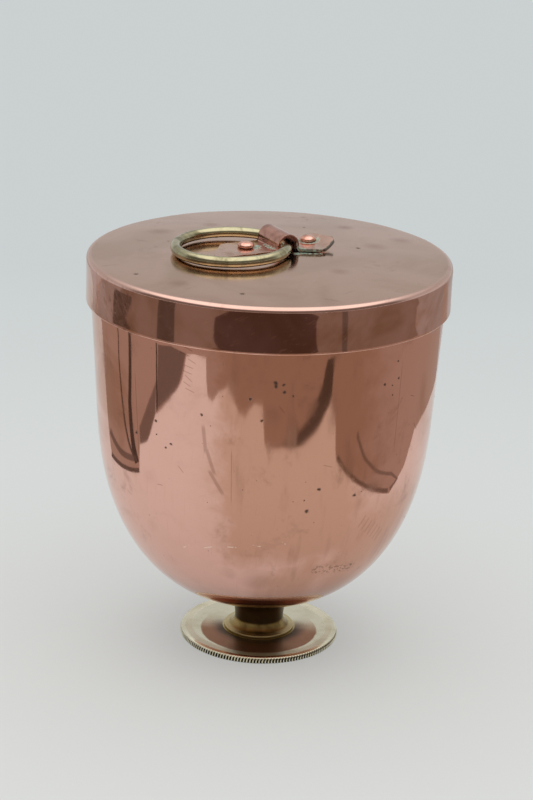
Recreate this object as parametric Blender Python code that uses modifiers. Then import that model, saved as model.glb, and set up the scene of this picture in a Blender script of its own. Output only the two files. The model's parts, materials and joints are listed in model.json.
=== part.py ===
"""Tea caddy: a copper bowl on a turned brass foot, with a copper lid and a brass ring handle.

Metres, +Z up. The origin is the centre of the foot's underside. The lid lifts straight up off
the bowl, and the ring swings in the arch of the copper strap that is riveted to the lid.
"""

import math

import bmesh
import bpy
from mathutils import Matrix, Vector

# Fits
SHEET = 0.0011  # copper sheet of the bowl and the lid
GAP = 0.0003  # between pieces that touch

# Foot: a thin disc with a milled edge, a waisted neck on it
DISC_RADIUS = 0.0304
DISC_THICKNESS = 0.0026
DISC_BEVEL = 0.0005
TOOTH_COUNT = 160
TOOTH_DEPTH = 0.0004
NECK_BOTTOM = DISC_THICKNESS + GAP
NECK_TOP = 0.0164
NECK_FOOT_RADIUS = 0.0134
NECK_LIP = 0.0007
NECK_HEAD_RADIUS = 0.0130
NECK_COLLAR = 0.0011
NECK_WAIST_RADIUS = 0.0093
NECK_WAIST_HEIGHT = 0.0066

# Bowl: a straight wall with a slight taper that runs into a round bottom
SEAT_HEIGHT = NECK_TOP + GAP
SEAT_RADIUS = 0.0130
BOTTOM_HEIGHT = 0.0158  # where the round bottom would meet the axis
ROUND_TOP = 0.0970  # where the round bottom meets the wall
WALL_TOP = 0.1340
WALL_RADIUS = 0.0655  # at the top of the wall and in the collar under the lid
WALL_TAPER = 0.059
ROUNDNESS_ACROSS = 2.22
ROUNDNESS_DOWN = 2.77

# Lid: one raised cap with a slightly domed top
LID_RADIUS = 0.0675
LID_TOP = 0.1511
LID_SKIRT = 0.0170
LID_EDGE = 0.0017
LID_DOME = 0.0020
RIM_HEIGHT = LID_TOP - SHEET - GAP

# Fixing screw through the foot and the bottom of the bowl
SCREW_RADIUS = 0.0025
SCREW_HEAD_RADIUS = 0.0047
SCREW_HEAD_HEIGHT = 0.0021
SCREW_SLOT = 0.0011
WASHER_RADIUS = 0.0062
WASHER_THICKNESS = 0.0008
NUT_ACROSS_FLATS = 0.0080
NUT_HEIGHT = 0.0040
THREAD_PAST_NUT = 0.0012

# Handle: strap and ring, in a frame that is turned on the lid
HANDLE_X = 0.0029
HANDLE_Y = 0.0039
HANDLE_TURN = math.radians(28)
STRAP_SHEET = 0.0010
STRAP_HALF_WIDTH = 0.0082
ARCH_RADIUS = 0.00355  # to the middle of the sheet
ARCH_HEIGHT = 0.0062  # from the strap's underside to the middle of the sheet at the top
ARCH_FILLET = 0.0012
TIP_LIFT = 0.0025
TIP_START = 0.0150
TIP_END = 0.0225
RING_RADIUS = 0.0203
RING_WIRE = 0.0018
RING_AXIS_HEIGHT = 0.0030  # of the hinge line above the lid
RING_DROOP = math.radians(1.3)

# Rivets
RIVET_SHANK = 0.0015
RIVET_HEAD_RADIUS = 0.0031
RIVET_HEAD_HEIGHT = 0.0019
RIVET_PEEN_RADIUS = 0.0027
RIVET_PEEN_HEIGHT = 0.0010
RIVET_REACH = 0.0129  # along the strap from the arch to each rivet
RIVET_OFFSET = 0.0010

HANDLE_BASE = LID_TOP + LID_DOME + GAP

COLOURS = {
    # name: (colour, roughness)
    "copper_bowl": ((0.86, 0.45, 0.33, 1), 0.16),
    "copper_lid": ((0.80, 0.43, 0.33, 1), 0.22),
    "copper_strap": ((0.66, 0.31, 0.22, 1), 0.35),
    "copper_rivet": ((0.83, 0.42, 0.31, 1), 0.25),
    "brass_foot": ((0.80, 0.71, 0.42, 1), 0.22),
    "brass_ring": ((0.76, 0.66, 0.36, 1), 0.25),
    "brass_fixing": ((0.62, 0.50, 0.26, 1), 0.40),
}


def clear_scene():
    for obj in list(bpy.data.objects):
        bpy.data.objects.remove(obj, do_unlink=True)


def new_collection(name):
    collection = bpy.data.collections.new(name)
    bpy.context.scene.collection.children.link(collection)
    return collection


def make_material(name):
    colour, roughness = COLOURS[name]
    material = bpy.data.materials.new(name)
    material.use_nodes = True
    shader = material.node_tree.nodes["Principled BSDF"]
    shader.inputs["Base Color"].default_value = colour
    shader.inputs["Metallic"].default_value = 1.0
    shader.inputs["Roughness"].default_value = roughness
    material.diffuse_color = colour
    return material


def link(obj, collection, material=None):
    for old in list(obj.users_collection):
        old.objects.unlink(obj)
    collection.objects.link(obj)
    if material is not None:
        obj.data.materials.clear()
        obj.data.materials.append(material)
    return obj


def hide_cutter(obj):
    obj.hide_render = True
    obj.display_type = "WIRE"
    return obj


def shade(obj):
    obj.data.shade_smooth()
    obj.data.set_sharp_from_angle(angle=math.radians(35))


def turned(name, outline, steps, closed=True):
    """A turned body from (radius, height) points that run down its outer side."""
    mesh = bpy.data.meshes.new(name)
    count = len(outline)
    edges = [(i, i + 1) for i in range(count - 1)]
    if closed:
        edges.append((count - 1, 0))
    mesh.from_pydata([(radius, 0, height) for radius, height in outline], edges, [])
    obj = bpy.data.objects.new(name, mesh)
    screw = obj.modifiers.new("turn", "SCREW")
    screw.axis = "Z"
    screw.steps = steps
    screw.render_steps = steps
    screw.use_smooth_shade = True
    screw.use_merge_vertices = True
    screw.merge_threshold = 0.00001
    return obj


def cut(obj, cutter, operation="DIFFERENCE"):
    boolean = obj.modifiers.new(cutter.name, "BOOLEAN")
    boolean.operation = operation
    boolean.object = cutter
    boolean.solver = "EXACT"


def arc(centre, radius, start, end, count):
    """Points along an arc, angles in degrees, both ends included."""
    points = []
    for i in range(count + 1):
        angle = math.radians(start + (end - start) * i / count)
        points.append((centre[0] + radius * math.cos(angle), centre[1] + radius * math.sin(angle)))
    return points


def offset_inward(outline, distance):
    """The outline moved towards the inside of a shell, to the right of its direction."""
    moved = []
    for i, point in enumerate(outline):
        before = Vector(outline[max(i - 1, 0)])
        after = Vector(outline[min(i + 1, len(outline) - 1)])
        along = (after - before).normalized()
        inward = Vector((along.y, -along.x))
        moved.append(tuple(Vector(point) + inward * distance))
    return moved


def cylinder(name, radius, bottom, top, sides=24, location=(0, 0)):
    mesh = bpy.data.meshes.new(name)
    shape = bmesh.new()
    bmesh.ops.create_cone(
        shape,
        cap_ends=True,
        segments=sides,
        radius1=radius,
        radius2=radius,
        depth=top - bottom,
        matrix=Matrix.Translation((0, 0, (bottom + top) / 2)),
    )
    shape.to_mesh(mesh)
    shape.free()
    obj = bpy.data.objects.new(name, mesh)
    obj.location = (location[0], location[1], 0)
    return obj


def plate(name, outline, bottom, top):
    """A flat outline given thickness, as a mesh, so that it can be a cutter."""
    curve = bpy.data.curves.new(name + "_outline", "CURVE")
    curve.dimensions = "2D"
    curve.fill_mode = "BOTH"
    curve.extrude = (top - bottom) / 2
    spline = curve.splines.new("POLY")
    spline.points.add(len(outline) - 1)
    for point, (x, y) in zip(spline.points, outline):
        point.co = (x, y, 0, 1)
    spline.use_cyclic_u = True
    guide = bpy.data.objects.new(name + "_outline", curve)
    bpy.context.scene.collection.objects.link(guide)
    bpy.context.view_layer.update()
    graph = bpy.context.evaluated_depsgraph_get()
    mesh = bpy.data.meshes.new_from_object(guide.evaluated_get(graph))
    bpy.data.objects.remove(guide, do_unlink=True)
    shape = bmesh.new()
    shape.from_mesh(mesh)
    bmesh.ops.remove_doubles(shape, verts=shape.verts, dist=0.000001)
    bmesh.ops.translate(shape, verts=shape.verts, vec=(0, 0, (bottom + top) / 2))
    bmesh.ops.recalc_face_normals(shape, faces=shape.faces)
    shape.to_mesh(mesh)
    shape.free()
    return bpy.data.objects.new(name, mesh)


def wall_radius(height):
    return WALL_RADIUS - WALL_TAPER * (WALL_TOP - min(height, WALL_TOP))


def bowl_outline():
    """The outside of the bowl, from the rim down to the edge of the seat."""
    outline = [(WALL_RADIUS, RIM_HEIGHT), (WALL_RADIUS, WALL_TOP)]
    depth = ROUND_TOP - BOTTOM_HEIGHT
    for degrees in range(0, 90, 6):
        angle = math.radians(degrees)
        height = ROUND_TOP - depth * math.sin(angle) ** (2 / ROUNDNESS_DOWN)
        radius = wall_radius(height) * math.cos(angle) ** (2 / ROUNDNESS_ACROSS)
        if radius > SEAT_RADIUS + 0.002:
            outline.append((radius, height))
    return outline


def make_bowl():
    outside = bowl_outline()
    inside = offset_inward(outside, SHEET)
    hole = SCREW_RADIUS + GAP
    floor = [
        (SEAT_RADIUS, SEAT_HEIGHT),
        (hole, SEAT_HEIGHT),
        (hole, SEAT_HEIGHT + SHEET),
        (SEAT_RADIUS, SEAT_HEIGHT + SHEET),
    ]
    return turned("bowl", outside + floor + inside[::-1], steps=48)


def make_disc():
    """The foot's disc: its edge is milled all round with fine straight ridges."""
    outer = []
    for i in range(TOOTH_COUNT * 2):
        radius = DISC_RADIUS - TOOTH_DEPTH * (i % 2)
        angle = math.pi * i / TOOTH_COUNT
        outer.append((radius * math.cos(angle), radius * math.sin(angle)))
    disc = plate("foot_disc", outer, 0, DISC_THICKNESS)
    inset = DISC_RADIUS - TOOTH_DEPTH
    cone = turned(
        "disc_edge_envelope",
        [
            (0, DISC_THICKNESS),
            (inset - DISC_BEVEL, DISC_THICKNESS),
            (DISC_RADIUS + 0.001, DISC_THICKNESS - DISC_BEVEL - TOOTH_DEPTH - 0.001),
            (DISC_RADIUS + 0.001, -0.001),
            (0, -0.001),
        ],
        steps=64,
        closed=False,
    )
    hole = SCREW_RADIUS + GAP
    sink = SCREW_HEAD_RADIUS + GAP
    countersink = turned(
        "disc_countersink",
        [
            (0, DISC_THICKNESS + 0.001),
            (hole, DISC_THICKNESS + 0.001),
            (hole, SCREW_HEAD_HEIGHT + GAP),
            (sink, GAP),
            (sink, -0.001),
            (0, -0.001),
        ],
        steps=24,
        closed=False,
    )
    cut(disc, cone, "INTERSECT")
    cut(disc, countersink)
    return disc, [cone, countersink]


def make_neck():
    """The waisted neck: a thin lip below, a cove, and a collar under the bowl."""
    hole = SCREW_RADIUS + GAP
    collar_bottom = NECK_TOP - NECK_COLLAR
    lip_top = NECK_BOTTOM + NECK_LIP
    outline = [
        (hole, NECK_TOP),
        (NECK_HEAD_RADIUS, NECK_TOP),
        (NECK_HEAD_RADIUS, collar_bottom),
    ]
    upper = collar_bottom - NECK_WAIST_HEIGHT
    lower = NECK_WAIST_HEIGHT - lip_top
    for degrees in (75, 50, 25, 0):
        angle = math.radians(degrees)
        flare = (NECK_HEAD_RADIUS - 0.0006 - NECK_WAIST_RADIUS) * (1 - math.cos(angle))
        outline.append((NECK_WAIST_RADIUS + flare, NECK_WAIST_HEIGHT + upper * math.sin(angle)))
    for degrees in (30, 60, 85):
        angle = math.radians(degrees)
        flare = (NECK_FOOT_RADIUS - 0.0008 - NECK_WAIST_RADIUS) * (1 - math.cos(angle))
        outline.append((NECK_WAIST_RADIUS + flare, NECK_WAIST_HEIGHT - lower * math.sin(angle)))
    outline += [(NECK_FOOT_RADIUS, lip_top), (NECK_FOOT_RADIUS, NECK_BOTTOM), (hole, NECK_BOTTOM)]
    return turned("foot_neck", outline, steps=40)


def make_screw():
    """Countersunk screw, head down in the disc, thread up through the nut."""
    top = nut_bottom() + NUT_HEIGHT + THREAD_PAST_NUT
    screw = turned(
        "foot_screw",
        [
            (0, top),
            (SCREW_RADIUS - 0.0005, top),
            (SCREW_RADIUS, top - 0.0005),
            (SCREW_RADIUS, SCREW_HEAD_HEIGHT + GAP),
            (SCREW_HEAD_RADIUS, GAP),
            (0, GAP),
        ],
        steps=20,
        closed=False,
    )
    half = SCREW_HEAD_RADIUS + 0.001
    slot = plate(
        "screw_slot",
        [
            (-half, -SCREW_SLOT / 2),
            (half, -SCREW_SLOT / 2),
            (half, SCREW_SLOT / 2),
            (-half, SCREW_SLOT / 2),
        ],
        -0.001,
        GAP + SCREW_SLOT,
    )
    cut(screw, slot)
    return screw, slot


def washer_bottom():
    return SEAT_HEIGHT + SHEET + GAP


def nut_bottom():
    return washer_bottom() + WASHER_THICKNESS + GAP


def make_washer():
    hole = SCREW_RADIUS + GAP
    low = washer_bottom()
    high = low + WASHER_THICKNESS
    outline = [(hole, high), (WASHER_RADIUS, high), (WASHER_RADIUS, low), (hole, low)]
    return turned("foot_washer", outline, steps=24)


def make_nut():
    radius = NUT_ACROSS_FLATS / math.sqrt(3)
    low = nut_bottom()
    nut = cylinder("foot_nut", radius, low, low + NUT_HEIGHT, sides=6)
    bore = cylinder("nut_bore", SCREW_RADIUS + GAP, low - 0.001, low + NUT_HEIGHT + 0.001, 20)
    cut(nut, bore)
    return nut, bore


def dome_height(radius):
    """Height of the lid's top face at this distance from the axis."""
    return LID_TOP + LID_DOME * (1 - (radius / (LID_RADIUS - LID_EDGE)) ** 2)


def make_lid():
    flat = LID_RADIUS - LID_EDGE
    bottom = LID_TOP - LID_SKIRT
    top_radii = [flat * i / 6 for i in range(6)]
    outside = [(radius, dome_height(radius)) for radius in top_radii]
    outside += arc((flat, LID_TOP - LID_EDGE), LID_EDGE, 90, 0, 4)
    outside.append((LID_RADIUS, bottom))
    inside = [(LID_RADIUS - SHEET, bottom)]
    inside += arc((flat, LID_TOP - LID_EDGE), LID_EDGE - SHEET, 0, 90, 2)
    inside += [(radius, dome_height(radius) - SHEET) for radius in reversed(top_radii)]
    return turned("lid", outside + inside, steps=48, closed=False)


def strap_path():
    """Side view of the strap: flat wings, an arch between them, a lifted right-hand tip."""
    middle = STRAP_SHEET / 2
    rise = ARCH_HEIGHT - ARCH_RADIUS
    left = arc((-ARCH_RADIUS - ARCH_FILLET, middle + ARCH_FILLET), ARCH_FILLET, 270, 360, 3)
    crown = arc((0, rise), ARCH_RADIUS, 180, 0, 10)
    right = arc((ARCH_RADIUS + ARCH_FILLET, middle + ARCH_FILLET), ARCH_FILLET, 180, 270, 3)
    tip = []
    for i in range(1, 6):
        part = i / 5
        tip.append((TIP_START + (TIP_END - TIP_START) * part, middle + TIP_LIFT * part**2))
    return [(-0.032, middle)] + left + crown + right + [(TIP_START, middle)] + tip


def strap_outline():
    """Plan of the strap: a hammered strip whose wings spread out towards their ends."""
    root = ARCH_RADIUS + STRAP_SHEET / 2
    half = STRAP_HALF_WIDTH
    left = [
        (-root, -half),
        (-0.0240, -0.0088),
        (-0.0278, -0.0086),
        (-0.0291, -0.0070),
        (-0.0288, -0.0048),
        (-0.0206, 0.0070),
        (-0.0186, 0.0086),
        (-root, half),
    ]
    right = [
        (root, half),
        (0.0160, 0.0084),
        (0.0183, 0.0066),
        (0.0206, -0.0042),
        (0.0200, -0.0068),
        (0.0135, -0.0116),
        (0.0112, -0.0118),
        (root, -half),
    ]
    return left + right


def make_strap():
    path = strap_path()
    mesh = bpy.data.meshes.new("ring_strap")
    near = -0.014
    far = 0.012
    corners = [(x, near, z) for x, z in path] + [(x, far, z) for x, z in path]
    count = len(path)
    faces = [(i, i + 1, count + i + 1, count + i) for i in range(count - 1)]
    mesh.from_pydata(corners, [], faces)
    strap = bpy.data.objects.new("ring_strap", mesh)
    thick = strap.modifiers.new("sheet", "SOLIDIFY")
    thick.thickness = STRAP_SHEET
    thick.offset = 0
    thick.use_even_offset = True
    outline = plate("strap_plan", strap_outline(), -0.002, 0.012)
    cut(strap, outline, "INTERSECT")
    return strap, outline


def make_ring():
    """The ring, with its wire's hinge line through the origin and the ring along -X."""
    bpy.ops.mesh.primitive_torus_add(
        major_segments=44, minor_segments=10, major_radius=RING_RADIUS, minor_radius=RING_WIRE
    )
    ring = bpy.context.object
    ring.name = "ring_handle"
    ring.data.name = "ring_handle"
    # Half the rise of the ring's arc across the arch, so that the wire turns about its own middle.
    sagitta = RING_RADIUS - math.sqrt(RING_RADIUS**2 - STRAP_HALF_WIDTH**2)
    ring.data.transform(Matrix.Translation((sagitta / 2 - RING_RADIUS, 0, 0)))
    ring.rotation_euler = (0, -RING_DROOP, 0)
    return ring


def rivet_places():
    """World X and Y of the two rivets, from the handle's frame."""
    places = {}
    for side, sign in (("left", -1), ("right", 1)):
        local = Vector((sign * RIVET_REACH, RIVET_OFFSET))
        turn = Matrix.Rotation(HANDLE_TURN, 2)
        places[side] = Vector((HANDLE_X, HANDLE_Y)) + turn @ local
    return places


def make_rivet(side, place):
    """A round-headed rivet, its shank through strap and lid, peened over inside the lid."""
    seat = HANDLE_BASE + STRAP_SHEET + GAP
    under = dome_height(place.length) - SHEET - GAP
    rim = 0.0004
    crown = []
    for degrees in (0, 30, 55, 75, 90):
        angle = math.radians(degrees)
        height = seat + rim + (RIVET_HEAD_HEIGHT - rim) * math.cos(angle)
        crown.append((RIVET_HEAD_RADIUS * math.sin(angle), height))
    outline = crown + [
        (RIVET_HEAD_RADIUS, seat),
        (RIVET_SHANK, seat),
        (RIVET_SHANK, under),
        (RIVET_PEEN_RADIUS, under),
        (RIVET_PEEN_RADIUS * 0.8, under - RIVET_PEEN_HEIGHT * 0.7),
        (0, under - RIVET_PEEN_HEIGHT),
    ]
    rivet = turned(f"rivet_{side}", outline, steps=20, closed=False)
    rivet.location = (place.x, place.y, 0)
    return rivet


def main():
    clear_scene()
    parts = new_collection("tea_caddy")
    helpers = new_collection("cutters")
    materials = {name: make_material(name) for name in COLOURS}

    disc, disc_cutters = make_disc()
    screw, slot = make_screw()
    nut, bore = make_nut()
    for cutter in disc_cutters + [slot, bore]:
        link(hide_cutter(cutter), helpers)
    link(make_bowl(), parts, materials["copper_bowl"])
    link(disc, parts, materials["brass_foot"])
    link(make_neck(), parts, materials["brass_foot"])
    link(screw, parts, materials["brass_fixing"])
    link(make_washer(), parts, materials["brass_fixing"])
    link(nut, parts, materials["brass_fixing"])

    frame = bpy.data.objects.new("handle_frame", None)
    frame.location = (HANDLE_X, HANDLE_Y, HANDLE_BASE)
    frame.rotation_euler = (0, 0, HANDLE_TURN)
    parts.objects.link(frame)
    hinge = bpy.data.objects.new("ring_hinge", None)
    hinge.parent = frame
    hinge.location = (0, 0, RING_AXIS_HEIGHT - GAP)
    parts.objects.link(hinge)

    lid = link(make_lid(), parts, materials["copper_lid"])
    strap, outline = make_strap()
    link(strap, parts, materials["copper_strap"])
    link(hide_cutter(outline), helpers)
    strap.parent = frame
    outline.parent = frame
    ring = link(make_ring(), parts, materials["brass_ring"])
    ring.parent = hinge
    for side, place in rivet_places().items():
        link(make_rivet(side, place), parts, materials["copper_rivet"])
        hole = cylinder(f"rivet_hole_{side}", RIVET_SHANK + GAP, 0.14, 0.17, 20, place)
        link(hide_cutter(hole), helpers)
        cut(lid, hole)
        cut(strap, hole)
    for obj in parts.objects:
        if obj.type == "MESH":
            shade(obj)


main()
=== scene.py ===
"""Looks of the tea caddy: polished but worn copper, a brass ring and a turned brass foot.

The pieces are built in the CAD part's own frame, in metres, and stand for its nodes.
"""

import json
import math
import random

import bmesh
import bpy
from mathutils import Matrix, Vector, noise


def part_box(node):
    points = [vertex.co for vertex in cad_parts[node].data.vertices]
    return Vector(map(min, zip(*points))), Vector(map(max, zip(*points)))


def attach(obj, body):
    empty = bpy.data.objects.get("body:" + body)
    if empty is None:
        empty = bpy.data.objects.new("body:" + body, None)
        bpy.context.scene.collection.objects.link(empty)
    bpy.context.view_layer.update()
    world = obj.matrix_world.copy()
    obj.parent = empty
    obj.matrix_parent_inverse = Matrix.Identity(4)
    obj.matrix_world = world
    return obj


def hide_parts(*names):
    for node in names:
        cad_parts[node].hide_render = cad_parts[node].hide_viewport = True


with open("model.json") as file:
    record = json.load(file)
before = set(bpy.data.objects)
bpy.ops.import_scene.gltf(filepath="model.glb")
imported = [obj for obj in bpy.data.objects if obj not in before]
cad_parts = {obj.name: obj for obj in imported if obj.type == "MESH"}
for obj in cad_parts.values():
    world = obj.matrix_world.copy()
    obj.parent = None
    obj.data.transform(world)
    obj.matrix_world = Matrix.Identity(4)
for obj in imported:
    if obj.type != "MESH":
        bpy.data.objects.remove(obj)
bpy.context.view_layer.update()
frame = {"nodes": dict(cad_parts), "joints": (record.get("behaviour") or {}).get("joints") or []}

MM = 0.001
BOWL_LOW, BOWL_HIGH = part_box("bowl")
LID_LOW, LID_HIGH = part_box("lid")
NECK_LOW, NECK_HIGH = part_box("foot_neck")
DISC_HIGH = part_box("foot_disc")[1]
HINGE = next(joint for joint in frame["joints"] if joint["name"] == "ring_swing")

# Copper sheet of the bowl and the lid
SHEET = 1.1 * MM

# Bowl
WALL_RADIUS = BOWL_HIGH.x
WALL_TOP = 134 * MM
WALL_TAPER = 0.059
ROUND_TOP = 97 * MM
ROUND_BOTTOM = 15.8 * MM
ROUNDNESS_ACROSS = 2.22
ROUNDNESS_DOWN = 2.77
SEAT_RADIUS = 13 * MM

# Lid
LID_RADIUS = LID_HIGH.x
LID_DOME = 2.0 * MM
LID_RIM = LID_LOW.z + 17 * MM
LID_EDGE = 1.9 * MM

# Handle
STRAP_SHEET = 1.0 * MM
ARCH_RADIUS = 3.8 * MM
ARCH_HEIGHT = 6.2 * MM
ARCH_FILLET = 1.2 * MM
STRAP_HALF_WIDTH = 8.2 * MM
TIP_LIFT = 2.2 * MM
TIP_START = 13.5 * MM
RING_RADIUS = 20.3 * MM
RING_WIRE = 2.0 * MM
RING_DROOP = math.radians(1.45)
RING_DROP = 0.3 * MM
RIVET_HEAD_RADIUS = 3.1 * MM
RIVET_HEAD_HEIGHT = 1.9 * MM

# Foot
DISC_DISH = 0.05 * MM
FOOT_SHIFT = 0.8 * MM
TOOTH_COUNT = 160
TOOTH_SLANT = 0.45
TOOTH_DEPTH = 0.5 * MM


# ---------------------------------------------------------------- meshes


def new_object(name, data):
    obj = bpy.data.objects.new(name, data)
    bpy.context.scene.collection.objects.link(obj)
    return obj


def new_piece(name, vertices, faces, material, body, sharp=35):
    mesh = bpy.data.meshes.new(name)
    mesh.from_pydata(vertices, [], faces)
    shape = bmesh.new()
    shape.from_mesh(mesh)
    bmesh.ops.remove_doubles(shape, verts=shape.verts, dist=1e-6)
    bmesh.ops.recalc_face_normals(shape, faces=shape.faces)
    shape.to_mesh(mesh)
    shape.free()
    mesh.shade_smooth()
    mesh.set_sharp_from_angle(angle=math.radians(sharp))
    mesh.materials.append(material)
    piece = new_object(name, mesh)
    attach(piece, body)
    return piece


def turned_faces(steps, count, closed=True):
    """Faces between the turns of an outline of count points."""
    faces = []
    for step in range(steps):
        here = step * count
        there = (step + 1) % steps * count
        for i in range(count if closed else count - 1):
            j = (i + 1) % count
            faces.append((here + i, there + i, there + j, here + j))
    return faces


def turn_outline(outline, steps, closed=True, shape=None):
    """Vertices and faces of (radius, height) points turned round +Z; shape moves each point."""
    vertices = []
    for step in range(steps):
        angle = 2 * math.pi * step / steps
        for radius, height in outline:
            point = Vector((radius * math.sin(angle), -radius * math.cos(angle), height))
            vertices.append(shape(point) if shape else point)
    return vertices, turned_faces(steps, len(outline), closed)


def arc(centre, radius, start, end, count):
    """Points along an arc, angles in degrees, both ends included."""
    points = []
    for i in range(count + 1):
        angle = math.radians(start + (end - start) * i / count)
        points.append((centre[0] + radius * math.cos(angle), centre[1] + radius * math.sin(angle)))
    return points


def offset_inward(outline, distance):
    """The outline moved to the right of its direction, which is the inside of a shell."""
    moved = []
    for i, point in enumerate(outline):
        before = Vector(outline[max(i - 1, 0)])
        after = Vector(outline[min(i + 1, len(outline) - 1)])
        along = (after - before).normalized()
        moved.append(tuple(Vector(point) + Vector((along.y, -along.x)) * distance))
    return moved


def uneven(size, depth, centre_height=None, seed=0):
    """Moves points in and out a little, as hand-worked sheet metal is."""

    def shape(point):
        middle = Vector((0, 0, point.z if centre_height is None else centre_height))
        outward = (point - middle).normalized()
        swell = noise.noise(point / size + Vector((seed, 0, 0)))
        return point + outward * swell * depth

    return shape


def between(value, points):
    """Straight-line reading of y at value from (x, y) points in rising x."""
    if value <= points[0][0]:
        return points[0][1]
    for (x0, y0), (x1, y1) in zip(points, points[1:]):
        if value <= x1:
            return y0 + (y1 - y0) * (value - x0) / (x1 - x0)
    return points[-1][1]


def bowl_radius(height):
    """Radius of the outside of the bowl at this height."""
    wall = WALL_RADIUS - WALL_TAPER * (WALL_TOP - min(height, WALL_TOP))
    if height >= ROUND_TOP:
        return wall
    down = ((ROUND_TOP - height) / (ROUND_TOP - ROUND_BOTTOM)) ** (ROUNDNESS_DOWN / 2)
    return wall * math.cos(math.asin(min(down, 1.0))) ** (2 / ROUNDNESS_ACROSS)


def handle_frame():
    """World matrix of the strap's frame: X along the strap, the arch over the origin."""
    axis = Vector(HINGE["axis"])
    along = Vector((axis.y, -axis.x, 0))
    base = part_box("ring_strap")[0].z
    origin = Vector((HINGE["pos_m"][0], HINGE["pos_m"][1], base))
    turn = Matrix((along, axis, Vector((0, 0, 1)))).transposed().to_4x4()
    return Matrix.Translation(origin) @ turn


HANDLE = handle_frame()


def dome_height(radius):
    return LID_RIM + LID_DOME * (1 - (radius / (LID_RADIUS - LID_EDGE)) ** 2)


# ---------------------------------------------------------------- materials


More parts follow.
